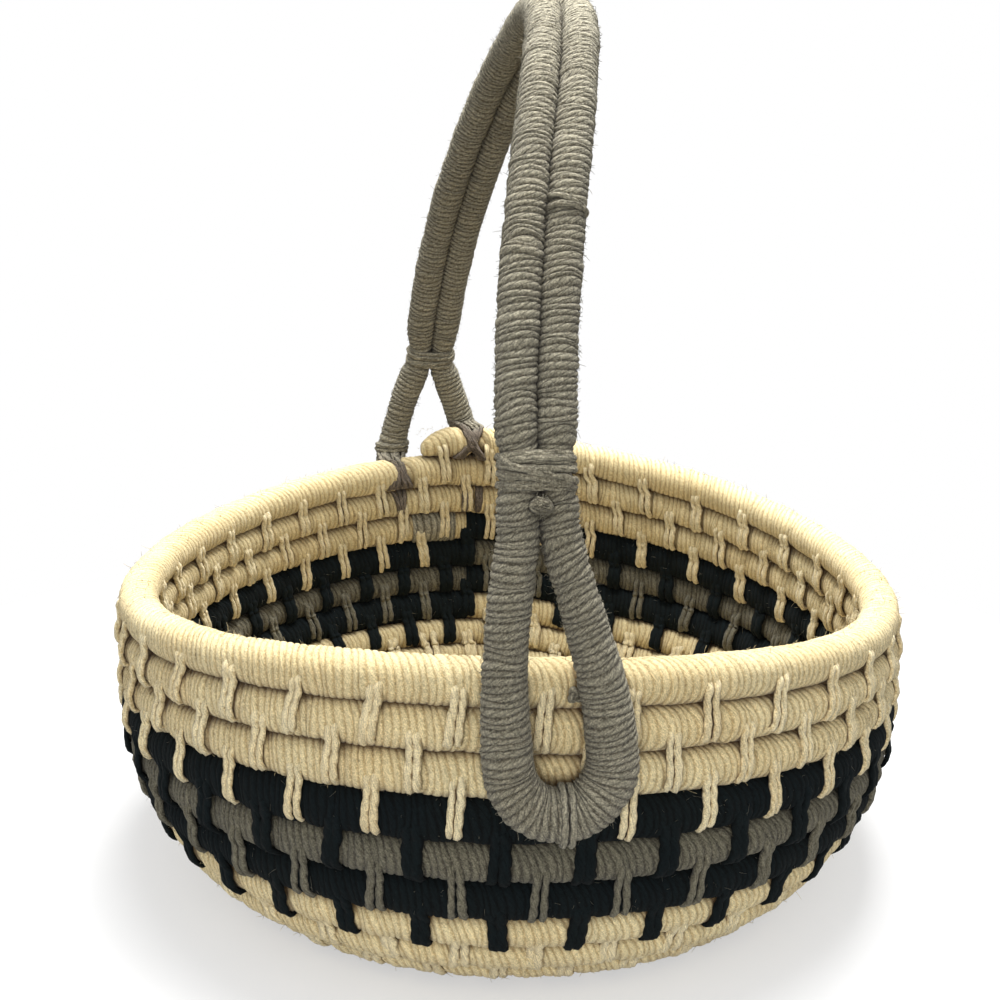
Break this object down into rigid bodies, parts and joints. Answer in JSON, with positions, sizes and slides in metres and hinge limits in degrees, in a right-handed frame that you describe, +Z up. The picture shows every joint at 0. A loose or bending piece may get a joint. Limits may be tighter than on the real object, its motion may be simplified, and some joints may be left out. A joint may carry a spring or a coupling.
{
  "type": "coiled yarn basket",
  "caption": "Round coiled basket: a cord wrapped in cream, black and grey yarn is wound up from the base, with a grey cord loop tied on as a tall arched handle",
  "frame": {"origin": "middle of the whole basket's box, on the floor under it", "axes": "+Z up from the base to the top of the handle, -Y towards the front end of the handle, +X to the right"},
  "size_m": [0.2698, 0.2818, 0.2896],
  "materials": {
    "cream_yarn": "matte",
    "black_yarn": "matte",
    "grey_yarn": "matte",
    "handle_yarn": "matte",
    "core_cord": "matte"
  },
  "bodies": {
    "root": {"base_wrap_cream": "cream_yarn", "lower_wrap_black": "black_yarn", "middle_wrap_grey": "grey_yarn", "upper_wrap_black": "black_yarn", "rim_wrap_cream": "cream_yarn", "core_cord": "core_cord", "handle_core": "core_cord", "handle_wrap": "handle_yarn", "front_binding": "handle_yarn", "back_binding": "handle_yarn", "front_binding_knot": "handle_yarn", "handle_tie": "handle_yarn", "back_left_lashing": "handle_yarn", "back_right_lashing": "handle_yarn", "front_loop_stitch": "handle_yarn", "back_loop_stitch": "handle_yarn", "front_leg_knot": "handle_yarn"}
  },
  "joints": []
}
